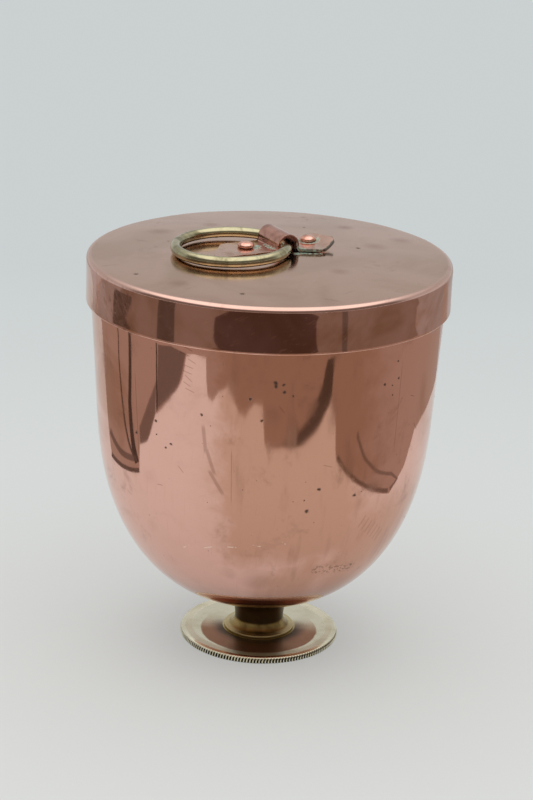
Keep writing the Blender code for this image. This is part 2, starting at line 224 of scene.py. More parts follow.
class Paint:
    """A metal's node material while it is being put together."""

    def __init__(self, name):
        self.material = bpy.data.materials.new(name)
        self.material.use_nodes = True
        self.tree = self.material.node_tree
        self.shader = self.tree.nodes["Principled BSDF"]
        self.shader.inputs["Metallic"].default_value = 1.0
        place = self.node("TexCoord")
        self.place = place.outputs["Object"]
        parts = self.node("SeparateXYZ", {"Vector": self.place})
        self.x, self.y, self.z = parts.outputs
        self.angle = self.math("ARCTAN2", self.x, self.math("MULTIPLY", self.y, -1))
        rough = self.node("TexNoise", {"Vector": self.place, "Scale": 1 / (1.2 * MM), "Detail": 2.0})
        half = (0.5, 0.5, 0.5)
        away = self.node("VectorMath", {0: rough.outputs["Color"], 1: half}, operation="SUBTRACT")
        shift = self.node("VectorMath", {0: away.outputs[0], "Scale": 1.0 * MM}, operation="SCALE")
        self.ragged = self.node("VectorMath", {0: self.place, 1: shift.outputs[0]}).outputs[0]

    def put(self, socket, value):
        if isinstance(value, bpy.types.NodeSocket):
            self.tree.links.new(value, socket)
        else:
            socket.default_value = value

    def node(self, kind, inputs=None, **settings):
        node = self.tree.nodes.new("ShaderNode" + kind)
        for name, value in settings.items():
            setattr(node, name, value)
        for name, value in (inputs or {}).items():
            self.put(node.inputs[name], value)
        return node

    def math(self, operation, first, second=0.0):
        node = self.node("Math", {0: first, 1: second}, operation=operation)
        return node.outputs[0]

    def times(self, first, second):
        return self.math("MULTIPLY", first, second)

    def add(self, first, second):
        return self.math("ADD", first, second)

    def either(self, first, second):
        return self.math("MAXIMUM", first, second)

    def less(self, mask):
        """1 where the mask is 0, and 0 where it is 1."""
        return self.math("SUBTRACT", 1.0, mask)

    def plus(self, value, mask, share):
        """The value with this share of a mask added."""
        return self.math("ADD", value, self.times(mask, share))

    def wall(self, radius):
        """Coordinates on a wall of this radius: distance round it, height, 0."""
        return self.node("CombineXYZ", {"X": self.times(self.angle, radius), "Y": self.z}).outputs[0]

    def stretched(self, vector, size, turn=0.0, shift=0.0):
        """The vector turned in its own plane and measured in units of size."""
        turned = self.node(
            "Mapping",
            {"Vector": vector, "Rotation": (0, 0, math.radians(turn)), "Location": (shift, shift, 0)},
        )
        scaled = self.node(
            "Mapping", {"Vector": turned.outputs[0], "Scale": [1 / side for side in size]}
        )
        return scaled.outputs[0]

    def moved(self, vector, shift):
        if not shift:
            return vector
        return self.node("Mapping", {"Vector": vector, "Location": (shift, shift, shift)}).outputs[0]

    def cloud(self, size, detail=3.0, roughness=0.5, distortion=0.0, vector=None, shift=0.0):
        """Noise from 0 to 1 with lumps of about this size."""
        vector = self.moved(vector or self.place, shift)
        node = self.node(
            "TexNoise",
            {
                "Vector": vector,
                "Scale": 1 / size,
                "Detail": detail,
                "Roughness": roughness,
                "Distortion": distortion,
            },
        )
        return node.outputs["Fac"]

    def over(self, value, low, high):
        """0 below low, 1 above high, smooth between; low above high turns it round."""
        node = self.node(
            "MapRange",
            {"Value": value, "From Min": low, "From Max": high},
            interpolation_type="SMOOTHSTEP",
        )
        return node.outputs[0]

    def spots(self, size, radius, share, vector=None, shift=0.0):
        """1 inside small round spots that lie about size apart; share of them are there."""
        vector = self.moved(vector or self.place, shift)
        cells = self.node("TexVoronoi", {"Vector": vector, "Scale": 1 / size})
        inside = self.over(cells.outputs["Distance"], radius / size, 0.6 * radius / size)
        chosen = self.node("SeparateColor", {"Color": cells.outputs["Color"]})
        return self.times(inside, self.math("LESS_THAN", chosen.outputs[0], share))

    def scratches(self, vector, width, length, turn, rarity, shift=0.0):
        """Thin straight marks, all in one direction."""
        lines = self.stretched(vector, (width, length, 1), turn, shift)
        mark = self.node("TexNoise", {"Vector": lines, "Scale": 1.0, "Detail": 1.0})
        return self.over(mark.outputs["Fac"], rarity, rarity + 0.06)

    def most(self, masks):
        """The highest of several masks."""
        highest = masks[0]
        for mask in masks[1:]:
            highest = self.math("MAXIMUM", highest, mask)
        return highest

    def dots(self, points, soft=0.6, vector=None):
        """1 inside round dots, each given as (x, y, z, radius) in metres."""
        where = vector or self.ragged
        highest = 0.0
        for x, y, z, radius in points:
            gap = self.node("VectorMath", {0: where, 1: (x, y, z)}, operation="DISTANCE")
            inside = self.over(gap.outputs["Value"], radius * (1 + soft), radius * (1 - soft))
            highest = self.math("MAXIMUM", inside, highest)
        return highest

    def strokes(self, wall, lines, width):
        """1 on short straight lines on a wall, each (distance round, height, length, tilt)."""
        highest = 0.0
        for across, height, length, tilt in lines:
            placed = self.node(
                "Mapping",
                {"Vector": wall, "Location": (across, height, 0), "Rotation": (0, 0, math.radians(tilt))},
                vector_type="TEXTURE",
            )
            along = self.node("SeparateXYZ", {"Vector": placed.outputs[0]})
            end = self.over(self.math("ABSOLUTE", along.outputs[0]), length / 2, length / 3)
            side = self.over(self.math("ABSOLUTE", along.outputs[1]), width, width / 3)
            highest = self.math("MAXIMUM", self.times(end, side), highest)
        return highest

    def mix(self, factor, first, second):
        node = self.node("Mix", data_type="RGBA")
        self.put(node.inputs[0], factor)
        self.put(node.inputs[6], first)
        self.put(node.inputs[7], second)
        return node.outputs[2]

    def bump(self, height, depth, normal=None):
        """Height from 0 to 1 raised by depth, in metres."""
        node = self.node("Bump", {"Height": height, "Strength": 1.0, "Distance": depth})
        if normal is not None:
            self.put(node.inputs["Normal"], normal)
        return node.outputs[0]

    def finish(self, colour, roughness, normal=None):
        self.put(self.shader.inputs["Base Color"], colour)
        self.put(self.shader.inputs["Roughness"], roughness)
        if normal is not None:
            self.put(self.shader.inputs["Normal"], normal)
        return self.material


PINK_COPPER = (0.84, 0.495, 0.41, 1)
GOLDEN_COPPER = (0.60, 0.305, 0.20, 1)
BROWN_COPPER = (0.30, 0.14, 0.095, 1)
PIT = (0.05, 0.035, 0.03, 1)


def on_wall(degrees, height, size):
    """A dot on the outside of the bowl: degrees round from the front, height and radius in mm."""
    radius = bowl_radius(height * MM)
    angle = math.radians(degrees)
    return radius * math.sin(angle), -radius * math.cos(angle), height * MM, size * MM


# Where pits gather on the bowl: degrees round from the front, height in mm, how many
PIT_GROUPS = [(45, 120, 6), (5, 120, 6), (-35, 100, 4), (20, 80, 4)]
PIT_SPREAD = 4  # of a group, in degrees and in mm
LONE_PITS = 14
SMUDGES = 6
LONG_LINES = 9
LADDER_SCRATCHES = 8
LOOSE_SCRATCHES = 10


def bowl_pits():
    """Small dark pits, gathered in a few groups with some anywhere round the bowl."""
    chance = random.Random(31)
    pits = []
    for degrees, height, count in PIT_GROUPS:
        for _ in range(count):
            aside = chance.gauss(0, PIT_SPREAD)
            pits.append((degrees + aside, height + chance.gauss(0, PIT_SPREAD), chance.uniform(0.3, 0.75)))
    for _ in range(LONE_PITS):
        pits.append((chance.uniform(-180, 180), chance.uniform(50, 125), chance.uniform(0.3, 0.7)))
    return pits


def bowl_smudges():
    """Soft brown spots over the front, and a large one low in the middle."""
    chance = random.Random(32)
    spots = []
    for _ in range(SMUDGES):
        spots.append((chance.uniform(-50, 50), chance.uniform(45, 115), chance.uniform(1.6, 3)))
    return spots + [(0, 42, 5.0)]


def bowl_scratches():
    """A ladder of short nicks under the skirt, left of the middle, and some loose ones."""
    chance = random.Random(33)
    marks = []
    for i in range(LADDER_SCRATCHES):
        degrees = -25 + chance.uniform(-2, 2)
        marks.append((degrees, 133 - 2.2 * i, chance.uniform(3.5, 5.5), chance.uniform(-50, -12)))
    for _ in range(LOOSE_SCRATCHES):
        place = (chance.uniform(-70, 70), chance.uniform(60, 128))
        marks.append(place + (chance.uniform(3, 6), chance.uniform(-60, 60)))
    return marks


def bowl_long_lines():
    """Long upright polishing lines, spread round the bowl."""
    chance = random.Random(34)
    lines = []
    for i in range(LONG_LINES):
        degrees = -160 + 40 * i + chance.uniform(-12, 12)
        lines.append((degrees, chance.uniform(85, 115), chance.uniform(18, 40), chance.uniform(87, 93)))
    return lines


# Dots as (degrees, height, radius) and lines as (degrees, height, length, tilt), in degrees and mm
BOWL_ROUGH_SPOTS = [(24 + 4 * i, 47 - 0.5 * i, 2.2) for i in range(5)]
BOWL_STREAKS = [(-19 + 2 * i, 100 - 8 * i, 12, -84 + 13 * i) for i in range(3)]
BOWL_HATCHING = [(38 + 1.9 * i, 66 - 1.5 * i, 6.5, 58) for i in range(7)]
BOWL_PALE_LINES = [(-28 + 9 * i, 55 + 1.5 * i, 4.5, 30 - 14 * i) for i in range(5)]


def wall_lines(lines):
    """The same lines in metres round and up the bowl's wall, as Paint.strokes takes them."""
    placed = []
    for degrees, height, length, tilt in lines:
        placed.append((math.radians(degrees) * WALL_RADIUS, height * MM, length * MM, tilt))
    return placed


def bowl_copper():
    paint = Paint("copper_bowl_worn")
    wall = paint.wall(WALL_RADIUS)
    broad = paint.cloud(40 * MM, 4, 0.55, 0.6)
    drift = paint.times(paint.math("SUBTRACT", paint.cloud(9 * MM, 3, 0.6, shift=0.11), 0.5), 0.35)
    turn = paint.add(paint.angle, drift)
    front = paint.times(paint.over(turn, -0.52, -0.20), paint.over(turn, 0.86, 0.50))
    height = paint.add(paint.z, paint.times(drift, 30 * MM))
    front = paint.times(front, paint.over(height, 44 * MM, 58 * MM))
    elsewhere = paint.times(paint.over(broad, 0.46, 0.66), 0.75)
    golden = paint.either(paint.times(front, 0.8), elsewhere)
    pale = paint.times(paint.over(turn, -0.14, -0.34), paint.over(turn, -0.95, -0.70))
    golden = paint.times(golden, paint.less(paint.times(pale, 0.8)))
    right = paint.times(paint.over(turn, 0.30, 0.60), paint.over(turn, 1.7, 1.3))
    right = paint.times(right, paint.over(height, 84 * MM, 62 * MM))
    golden = paint.either(golden, paint.times(right, 0.75))
    colour = paint.mix(golden, PINK_COPPER, GOLDEN_COPPER)
    stain = paint.over(paint.cloud(13 * MM, 6, 0.66, 0.4, shift=0.3), 0.53, 0.78)
    drips = paint.stretched(wall, (7 * MM, 34 * MM, 1))
    drips = paint.node("TexNoise", {"Vector": drips, "Scale": 1.0, "Detail": 5.0})
    drips = paint.over(drips.outputs["Fac"], 0.52, 0.72)
    stain = paint.either(stain, paint.times(paint.times(drips, golden), 0.8))
    smudge = paint.times(paint.dots([on_wall(*spot) for spot in bowl_smudges()], 0.9), 0.6)
    stain = paint.either(stain, smudge)
    stain = paint.times(stain, paint.less(paint.times(pale, 0.75)))
    # Painted shade: the bowl darker brown, in patches, towards its bottom; from here the stain mask
    # carries it beside the real tarnish.
    under = paint.times(paint.over(height, 46 * MM, 26 * MM), paint.over(broad, 0.30, 0.60))
    stain = paint.either(stain, paint.times(under, 0.8))
    colour = paint.mix(paint.times(stain, 0.5), colour, BROWN_COPPER)
    # Painted shade: the bowl darker brown where it meets its seat on the neck.
    seat = paint.over(paint.add(paint.z, paint.times(drift, 10 * MM)), 24 * MM, 19 * MM)
    colour = paint.mix(paint.times(seat, 0.6), colour, BROWN_COPPER)
    pits = paint.dots([on_wall(*spot) for spot in bowl_pits()])
    specks = paint.spots(4.2 * MM, 0.26 * MM, 0.34, shift=0.2)
    specks = paint.either(specks, paint.spots(2.3 * MM, 0.16 * MM, 0.16, shift=0.5))
    crowd = paint.times(
        paint.dots([on_wall(*spot) for spot in BOWL_ROUGH_SPOTS], 0.5),
        paint.over(paint.cloud(1.1 * MM, 2, 0.6), 0.50, 0.58),
    )
    marks = paint.most([pits, paint.times(specks, 0.7), paint.times(crowd, 0.5)])
    colour = paint.mix(paint.times(marks, 0.85), colour, PIT)
    cuts = paint.strokes(wall, wall_lines(bowl_scratches()), 0.20 * MM)
    long_cuts = paint.strokes(wall, wall_lines(bowl_long_lines()), 0.2 * MM)
    cuts = paint.either(cuts, paint.times(long_cuts, 0.9))
    hatching = paint.strokes(wall, wall_lines(BOWL_HATCHING), 0.55 * MM)
    cuts = paint.either(cuts, paint.times(hatching, 0.45))
    fine = paint.most([
        paint.scratches(wall, 0.22 * MM, 16 * MM, 6, 0.68),
        paint.scratches(wall, 0.2 * MM, 8 * MM, 72, 0.71, 0.4),
        paint.scratches(wall, 0.2 * MM, 10 * MM, -40, 0.72, 0.8),
    ])
    lines = paint.either(cuts, paint.times(fine, 0.35))
    colour = paint.mix(paint.times(lines, 0.55), colour, BROWN_COPPER)
    streak = paint.strokes(wall, wall_lines(BOWL_STREAKS), 1.0 * MM)
    colour = paint.mix(paint.times(streak, 0.42), colour, BROWN_COPPER)
    shine = paint.strokes(wall, wall_lines(BOWL_PALE_LINES), 0.3 * MM)
    shine = paint.times(shine, paint.over(paint.cloud(1.5 * MM, 2, 0.6, shift=0.4), 0.42, 0.52))
    colour = paint.mix(paint.times(shine, 0.6), colour, (1.0, 0.78, 0.68, 1))
    rough = paint.plus(0.045, golden, 0.012)
    rough = paint.plus(rough, stain, 0.12)
    rough = paint.plus(rough, marks, 0.4)
    waves = paint.bump(paint.cloud(18 * MM, 2, 0.4, shift=0.7), 0.035 * MM)
    return paint.finish(colour, rough, waves)


def tin():
    paint = Paint("tinned_inside")
    patches = paint.cloud(20 * MM, 5, 0.6, 0.5)
    colour = paint.mix(paint.over(patches, 0.35, 0.7), (0.62, 0.61, 0.58, 1), (0.40, 0.39, 0.36, 1))
    rings = paint.scratches(paint.wall(WALL_RADIUS), 30 * MM, 0.4 * MM, 2, 0.60)
    rough = paint.add(0.30, paint.times(paint.over(patches, 0.3, 0.7), 0.15))
    return paint.finish(colour, rough, paint.bump(rings, -0.01 * MM))


def on_lid(x, y, size):
    """A dot on the lid's top face, in mm from the axis."""
    return x * MM, y * MM, dome_height(math.hypot(x, y) * MM), size * MM


# Green spots along the near side of the strap's right wing: across, back and radius in mm
LID_VERDIGRIS = [
    (9.6, -3.4, 1.3), (10.9, -2.6, 1.5), (12.6, -2.2, 1.2), (14.6, -2.3, 0.9), (16.8, -2.1, 0.8),
    (18.6, -1.7, 0.7),
]
LID_PIT_COUNT = 10
LID_SMUDGE_COUNT = 7


def lid_marks(seed, count, smallest, largest):
    """Places spread evenly over the lid's top: across and back in mm, and a radius."""
    chance = random.Random(seed)
    marks = []
    for _ in range(count):
        turn = chance.uniform(-math.pi, math.pi)
        out = 62 * math.sqrt(chance.uniform(0.1, 1))
        marks.append((out * math.cos(turn), out * math.sin(turn), chance.uniform(smallest, largest)))
    return marks


def lid_copper():
    paint = Paint("copper_lid_satin")
    top = paint.over(paint.z, LID_RIM - 1.3 * MM, LID_RIM - 0.3 * MM)
    side = paint.less(top)
    wall = paint.wall(LID_RADIUS)
    broad = paint.cloud(34 * MM, 4, 0.55, 0.8, shift=0.15)
    worn = paint.over(broad, 0.40, 0.68)
    colour = paint.mix(worn, PINK_COPPER, GOLDEN_COPPER)
    face = paint.mix(worn, (0.70, 0.46, 0.36, 1), (0.60, 0.385, 0.285, 1))
    colour = paint.mix(top, colour, face)
    # Painted highlight: the rounded rim of the lid tinted paler pink.
    out = paint.node("CombineXYZ", {"X": paint.x, "Y": paint.y})
    out = paint.node("VectorMath", {0: out.outputs[0]}, operation="LENGTH").outputs["Value"]
    edge = paint.over(out, LID_RADIUS - 2.3 * MM, LID_RADIUS - 1.6 * MM)
    edge = paint.times(edge, paint.over(paint.z, LID_RIM - 2.0 * MM, LID_RIM - 1.4 * MM))
    colour = paint.mix(paint.times(edge, 0.6), colour, (0.80, 0.52, 0.45, 1))
    stain = paint.over(paint.cloud(11 * MM, 6, 0.62, 1.2, shift=0.5), 0.58, 0.80)
    smudge = paint.dots([on_lid(*spot) for spot in lid_marks(41, LID_SMUDGE_COUNT, 2.4, 4)], 0.9)
    stain = paint.either(stain, paint.times(smudge, 0.8))
    colour = paint.mix(paint.times(stain, 0.5), colour, BROWN_COPPER)
    green = paint.times(
        paint.dots([on_lid(*spot) for spot in LID_VERDIGRIS], 0.4),
        paint.over(paint.cloud(1.2 * MM, 4, 0.65, shift=0.4), 0.32, 0.50),
    )
    shade = paint.over(paint.cloud(1.8 * MM, 3, 0.6, shift=0.8), 0.35, 0.65)
    patina = paint.mix(shade, (0.20, 0.33, 0.27, 1), (0.36, 0.47, 0.37, 1))
    colour = paint.mix(green, colour, patina)
    paint.put(paint.shader.inputs["Metallic"], paint.less(paint.times(green, 0.95)))
    pits = paint.dots([on_lid(*spot) for spot in lid_marks(42, LID_PIT_COUNT, 0.4, 1.2)])
    pits = paint.either(pits, paint.times(paint.spots(15 * MM, 0.45 * MM, 0.25, shift=0.12), side))
    colour = paint.mix(paint.times(pits, 0.8), colour, PIT)
    hatch = paint.times(paint.over(paint.angle, -0.72, -0.85), paint.over(paint.angle, -1.35, -1.15))
    rubbed = paint.scratches(wall, 0.35 * MM, 6 * MM, -40, 0.56)
    lines = paint.times(rubbed, paint.times(hatch, side))
    fine = paint.scratches(wall, 0.2 * MM, 7 * MM, 60, 0.70)
    lines = paint.either(lines, paint.times(paint.times(fine, side), 0.35))
    colour = paint.mix(paint.times(lines, 0.5), colour, BROWN_COPPER)
    rough = paint.plus(0.06, top, 0.08)
    rough = paint.plus(rough, green, 0.5)
    rough = paint.plus(rough, stain, 0.15)
    rough = paint.plus(rough, pits, 0.4)
    waves = paint.bump(paint.cloud(13 * MM, 2, 0.4, shift=0.9), 0.035 * MM)
    normal = paint.bump(paint.add(pits, paint.times(lines, 0.5)), -0.02 * MM, waves)
    return paint.finish(colour, rough, normal)


def handle_space(paint):
    """Coordinates in the strap's own frame."""
    turn = HANDLE.to_euler()
    placed = paint.node(
        "Mapping",
        {"Vector": paint.ragged, "Location": HANDLE.translation, "Rotation": turn},
        vector_type="TEXTURE",
    )
    return placed.outputs[0]


VERDIGRIS = [
    # (along, across, up, radius) in mm in the strap's frame
    (4.8, -8.0, 0.6, 1.7), (5.6, -9.2, 0.4, 1.3), (7.5, -10.4, 0.3, 0.9), (9.2, -11.2, 0.3, 0.9),
    (11.5, -11.8, 0.4, 0.9), (-5.2, -3.0, 1.0, 0.9), (-5.0, -5.0, 1.0, 0.9), (-5.2, -1.0, 1.0, 0.8),
    (-5.0, 1.0, 1.0, 0.8), (-9.6, -0.6, 1.2, 1.5), (-10.0, -2.2, 1.2, 1.3), (-8.4, 0.4, 1.1, 1.3),
    (2.8, -7.8, 2.6, 0.9), (3.3, -8.0, 1.6, 1.0), (5.0, 3.0, 1.0, 0.8), (5.0, 6.5, 0.9, 0.9),
]


def strap_copper():
    paint = Paint("copper_strap_aged")
    local = handle_space(paint)
    along, across, _ = paint.node("SeparateXYZ", {"Vector": local}).outputs
    clean = paint.cloud(7 * MM, 4, 0.6, 0.5)
    worn = paint.over(clean, 0.40, 0.70)
    wing = paint.mix(worn, (0.74, 0.47, 0.37, 1), (0.52, 0.31, 0.23, 1))
    crown = paint.mix(worn, (0.62, 0.33, 0.26, 1), (0.36, 0.17, 0.13, 1))
    reach = paint.math("ABSOLUTE", along)
    near_arch = paint.over(reach, 8.5 * MM, 5.0 * MM)
    colour = paint.mix(near_arch, wing, crown)
    crust = paint.dots([(x * MM, y * MM, z * MM, r * MM) for x, y, z, r in VERDIGRIS], 0.5, local)
    right_rivet = (12.9 * MM, 1.0 * MM, 1.0 * MM)
    ring = paint.node("VectorMath", {0: local, 1: right_rivet}, operation="DISTANCE")
    reach = ring.outputs["Value"]
    collar = paint.times(paint.over(reach, 5.0 * MM, 4.2 * MM), paint.over(reach, 2.6 * MM, 3.2 * MM))
    green = paint.either(crust, paint.times(collar, 0.8))
    mottled = paint.over(paint.cloud(1.4 * MM, 4, 0.65, 0.3, shift=0.4), 0.36, 0.52)
    green = paint.times(green, mottled)
    # Painted shade: green-black along the lifted tip, the near edge of the right wing and the right end,
    # standing for the sheet's shaded underside.
    slope = paint.math("SUBTRACT", paint.times(along, 0.594), paint.times(across, 0.804))
    side = paint.math("SUBTRACT", paint.times(across, -0.894), paint.times(along, 0.447))
    tip = paint.times(paint.over(slope, 16.6 * MM, 17.0 * MM), paint.over(along, 11 * MM, 13 * MM))
    near_edge_shade = paint.times(paint.over(side, 5.0 * MM, 5.3 * MM), paint.over(along, 5.0 * MM, 6.0 * MM))
    tip = paint.most([tip, paint.times(near_edge_shade, 0.6), paint.over(along, 20.0 * MM, 20.4 * MM)])
    colour = paint.mix(paint.times(tip, 0.85), colour, (0.06, 0.085, 0.07, 1))
    shade = paint.over(paint.cloud(2.2 * MM, 3, 0.6, shift=0.8), 0.35, 0.65)
    patina = paint.mix(shade, (0.23, 0.36, 0.29, 1), (0.40, 0.50, 0.40, 1))
    colour = paint.mix(green, colour, patina)
    rough = paint.plus(0.16, worn, 0.12)
    rough = paint.plus(rough, green, 0.5)
    paint.put(paint.shader.inputs["Metallic"], paint.less(paint.times(green, 0.95)))
    normal = paint.bump(paint.cloud(1.3 * MM, 3, 0.6), 0.02 * MM)
    normal = paint.bump(paint.times(green, mottled), 0.15 * MM, normal)
    return paint.finish(colour, rough, normal)


def rivet_copper():
    paint = Paint("copper_rivet_polished")
    worn = paint.over(paint.cloud(2.2 * MM, 4, 0.6, 0.4), 0.40, 0.70)
    colour = paint.mix(worn, (0.92, 0.52, 0.42, 1), (0.50, 0.23, 0.16, 1))
    rough = paint.plus(0.16, worn, 0.16)
    return paint.finish(colour, rough, paint.bump(paint.cloud(1.2 * MM, 2, 0.5), 0.06 * MM))


def ring_brass():
    paint = Paint("brass_ring_tarnished")
    patches = paint.cloud(8 * MM, 5, 0.6, 0.8)
    dull = paint.over(patches, 0.44, 0.76)
    colour = paint.mix(dull, (0.55, 0.495, 0.31, 1), (0.20, 0.17, 0.085, 1))
    bloom = paint.over(paint.cloud(4 * MM, 5, 0.65, 0.5, shift=0.6), 0.50, 0.74)
    colour = paint.mix(paint.times(bloom, 0.55), colour, (0.27, 0.31, 0.22, 1))
    rough = paint.plus(0.12, dull, 0.16)
    normal = paint.bump(paint.cloud(2.5 * MM, 3, 0.5, shift=0.2), 0.02 * MM)
    return paint.finish(colour, rough, normal)


def from_axis(paint):
    beside = paint.math("SUBTRACT", paint.x, FOOT_SHIFT)
    across = paint.add(paint.times(beside, beside), paint.times(paint.y, paint.y))
    return paint.math("SQRT", across)


def foot_brass():
    """Turned brass, clean towards the disc's edge. On the front round the neck a red-brown crescent,
    partly tarnished brass and partly a painted reflection of the copper bowl; painted shade round the
    neck's foot and between the milled ridges; the neck darkened by painted shade and reflection.
    """
    paint = Paint("brass_foot_turned")
    around = from_axis(paint)
    drift = paint.times(paint.math("SUBTRACT", paint.cloud(5 * MM, 3, 0.6, shift=0.3), 0.5), 2.4 * MM)
    reach = paint.add(around, drift)
    patches = paint.over(paint.cloud(9 * MM, 5, 0.6, 0.4), 0.42, 0.76)
    colour = paint.mix(paint.times(patches, 0.6), (0.92, 0.87, 0.68, 1), (0.66, 0.58, 0.37, 1))
    # The crescent is painted on the front side only: partly red-brown tarnish, partly a painted reflection
    # of the copper bowl in the disc.
    front = paint.over(paint.math("ABSOLUTE", paint.angle), 2.1, 1.2)
    ahead = paint.add(paint.y, 3.6 * MM)
    beside = paint.math("SUBTRACT", paint.x, FOOT_SHIFT)
    round_it = paint.add(paint.times(beside, beside), paint.times(ahead, ahead))
    round_it = paint.add(paint.math("SQRT", round_it), paint.times(drift, 0.5))
    tarnish_and_reflection = paint.times(paint.over(round_it, 22.7 * MM, 21.9 * MM), front)
    colour = paint.mix(paint.times(tarnish_and_reflection, 0.92), colour, (0.40, 0.165, 0.075, 1))
    # Painted shade: a near-black ring round the foot of the neck, on the front side only.
    neck_foot_shade = paint.times(paint.over(reach, 20 * MM, 14.5 * MM), front)
    colour = paint.mix(paint.times(neck_foot_shade, 0.9), colour, (0.05, 0.04, 0.02, 1))
    # Painted shade: near black in the bottoms of the milled ridges.
    groove_shade = paint.times(paint.over(around, DISC_HIGH.x - 0.12 * MM, DISC_HIGH.x - 0.3 * MM),
                          paint.over(paint.z, DISC_HIGH.z - 0.7 * MM, DISC_HIGH.z - 1.0 * MM))
    groove_shade = paint.times(groove_shade, paint.over(around, DISC_HIGH.x - 1.0 * MM, DISC_HIGH.x - 0.8 * MM))
    colour = paint.mix(groove_shade, colour, (0.03, 0.025, 0.015, 1))
    # Painted shade and reflection: the neck's brass darkened brown, near black on its upper part under the
    # bowl, lighter at the two lips.
    neck = paint.over(around, 14.2 * MM, 13.8 * MM)
    neck_shaded_brass = paint.mix(patches, (0.40, 0.285, 0.105, 1), (0.16, 0.10, 0.035, 1))
    dark = paint.over(paint.add(paint.z, paint.times(drift, 0.2)), 6.0 * MM, 7.2 * MM)
    neck_shaded_brass = paint.mix(paint.times(dark, 0.92), neck_shaded_brass, (0.05, 0.033, 0.017, 1))
    lip = paint.over(paint.z, 4.0 * MM, 3.6 * MM)
    lip = paint.either(lip, paint.over(paint.z, 15.0 * MM, 15.4 * MM))
    neck_shaded_brass = paint.mix(paint.times(lip, 0.7), neck_shaded_brass, (0.78, 0.66, 0.36, 1))
    colour = paint.mix(neck, colour, neck_shaded_brass)
    track = paint.node("CombineXYZ", {"X": around, "Y": paint.z}).outputs[0]
    turned = paint.cloud(0.35 * MM, 2, 0.5, vector=track)
    rough = paint.plus(0.13, patches, 0.08)
    band = paint.times(paint.over(around, 25 * MM, 26.5 * MM), paint.over(around, 29 * MM, 28.4 * MM))
    rough = paint.plus(rough, tarnish_and_reflection, 0.22)
    rough = paint.plus(rough, band, 0.25)
    return paint.finish(colour, rough, paint.bump(turned, 0.003 * MM))


def fixing_brass():
    paint = Paint("brass_fixing_dull")
    patches = paint.over(paint.cloud(3 * MM, 4, 0.6, 0.5), 0.38, 0.68)
    colour = paint.mix(patches, (0.68, 0.55, 0.28, 1), (0.34, 0.25, 0.12, 1))
    rough = paint.plus(0.30, patches, 0.2)
    return paint.finish(colour, rough, paint.bump(paint.cloud(0.8 * MM, 3, 0.5), 0.02 * MM))


# ---------------------------------------------------------------- pieces


def bowl_outline():
    """The outside of the bowl, from the rim down to the edge of its seat."""
    rim = BOWL_HIGH.z
    outline = arc((WALL_RADIUS - SHEET / 2, rim - SHEET / 2), SHEET / 2, 90, 0, 4)
    outline += [(WALL_RADIUS, rim - 4 * MM), (WALL_RADIUS, WALL_TOP)]
    for step in range(1, 13):
        height = WALL_TOP + (ROUND_TOP - WALL_TOP) * step / 13
        outline.append((WALL_RADIUS - WALL_TAPER * (WALL_TOP - height), height))
    steps = 60
    for step in range(steps):
        down = math.sin(math.pi / 2 * step / steps)
        across = math.cos(math.pi / 2 * step / steps)
        height = ROUND_TOP - (ROUND_TOP - ROUND_BOTTOM) * down ** (2 / ROUNDNESS_DOWN)
        wall = WALL_RADIUS - WALL_TAPER * (WALL_TOP - height)
        radius = wall * across ** (2 / ROUNDNESS_ACROSS)
        if radius > SEAT_RADIUS + 1.5 * MM:
            outline.append((radius, height))
    outline.append((SEAT_RADIUS, BOWL_LOW.z))
    return outline


def make_bowl(copper, lining):
    outside = bowl_outline()
    inside = offset_inward(outside[4:-1], SHEET)
    floor = [(2.8 * MM, BOWL_LOW.z), (2.8 * MM, BOWL_LOW.z + SHEET), (SEAT_RADIUS, BOWL_LOW.z + SHEET)]
    inner_rim = arc((WALL_RADIUS - SHEET / 2, BOWL_HIGH.z - SHEET / 2), SHEET / 2, 180, 110, 3)
    outline = outside + floor + inside[::-1] + inner_rim
    dents = uneven(30 * MM, 0.12 * MM, ROUND_TOP)
    vertices, faces = turn_outline(outline, 192, shape=dents)
    bowl = new_piece("bowl_shell", vertices, faces, copper, "base_body")
    bowl.data.materials.append(lining)
    for face in bowl.data.polygons:
        middle = face.center
        out = Vector((middle.x, middle.y, middle.z - min(middle.z, ROUND_TOP)))
        if face.normal.dot(out) < 0 and middle.z < BOWL_HIGH.z - 0.3 * MM:
            face.material_index = 1
    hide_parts("bowl")


def make_lid(copper):
    flat = LID_RADIUS - LID_EDGE
    bottom = LID_LOW.z
    radii = [flat * i / 30 for i in range(30)]
    outside = [(radius, dome_height(radius)) for radius in radii]
    outside += arc((flat, LID_RIM - LID_EDGE), LID_EDGE, 90, 0, 8)
    outside += [(LID_RADIUS - 0.05 * MM, LID_RIM - 5 * MM), (LID_RADIUS - 0.05 * MM, bottom + 5 * MM)]
    outside += [(LID_RADIUS - 0.05 * MM, bottom + 1.2 * MM)]
    outside += arc((LID_RADIUS - 0.45 * MM, bottom + 0.45 * MM), 0.45 * MM, 0, -90, 4)
    inside = arc((LID_RADIUS - SHEET + 0.3 * MM, bottom + 0.3 * MM), 0.3 * MM, 270, 180, 2)
    inside += [(LID_RADIUS - SHEET, bottom + 4 * MM)]
    inside += arc((flat, LID_RIM - LID_EDGE), LID_EDGE - SHEET, 0, 90, 4)
    inside += [(radius, dome_height(radius) - SHEET) for radius in reversed(radii)]
    worked = uneven(22 * MM, 0.16 * MM, LID_RIM - 60 * MM, seed=7)
    vertices, faces = turn_outline(outside + inside, 192, closed=False, shape=worked)
    lid = new_piece("lid_shell", vertices, faces, copper, "lid_body", sharp=50)
    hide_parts("lid")


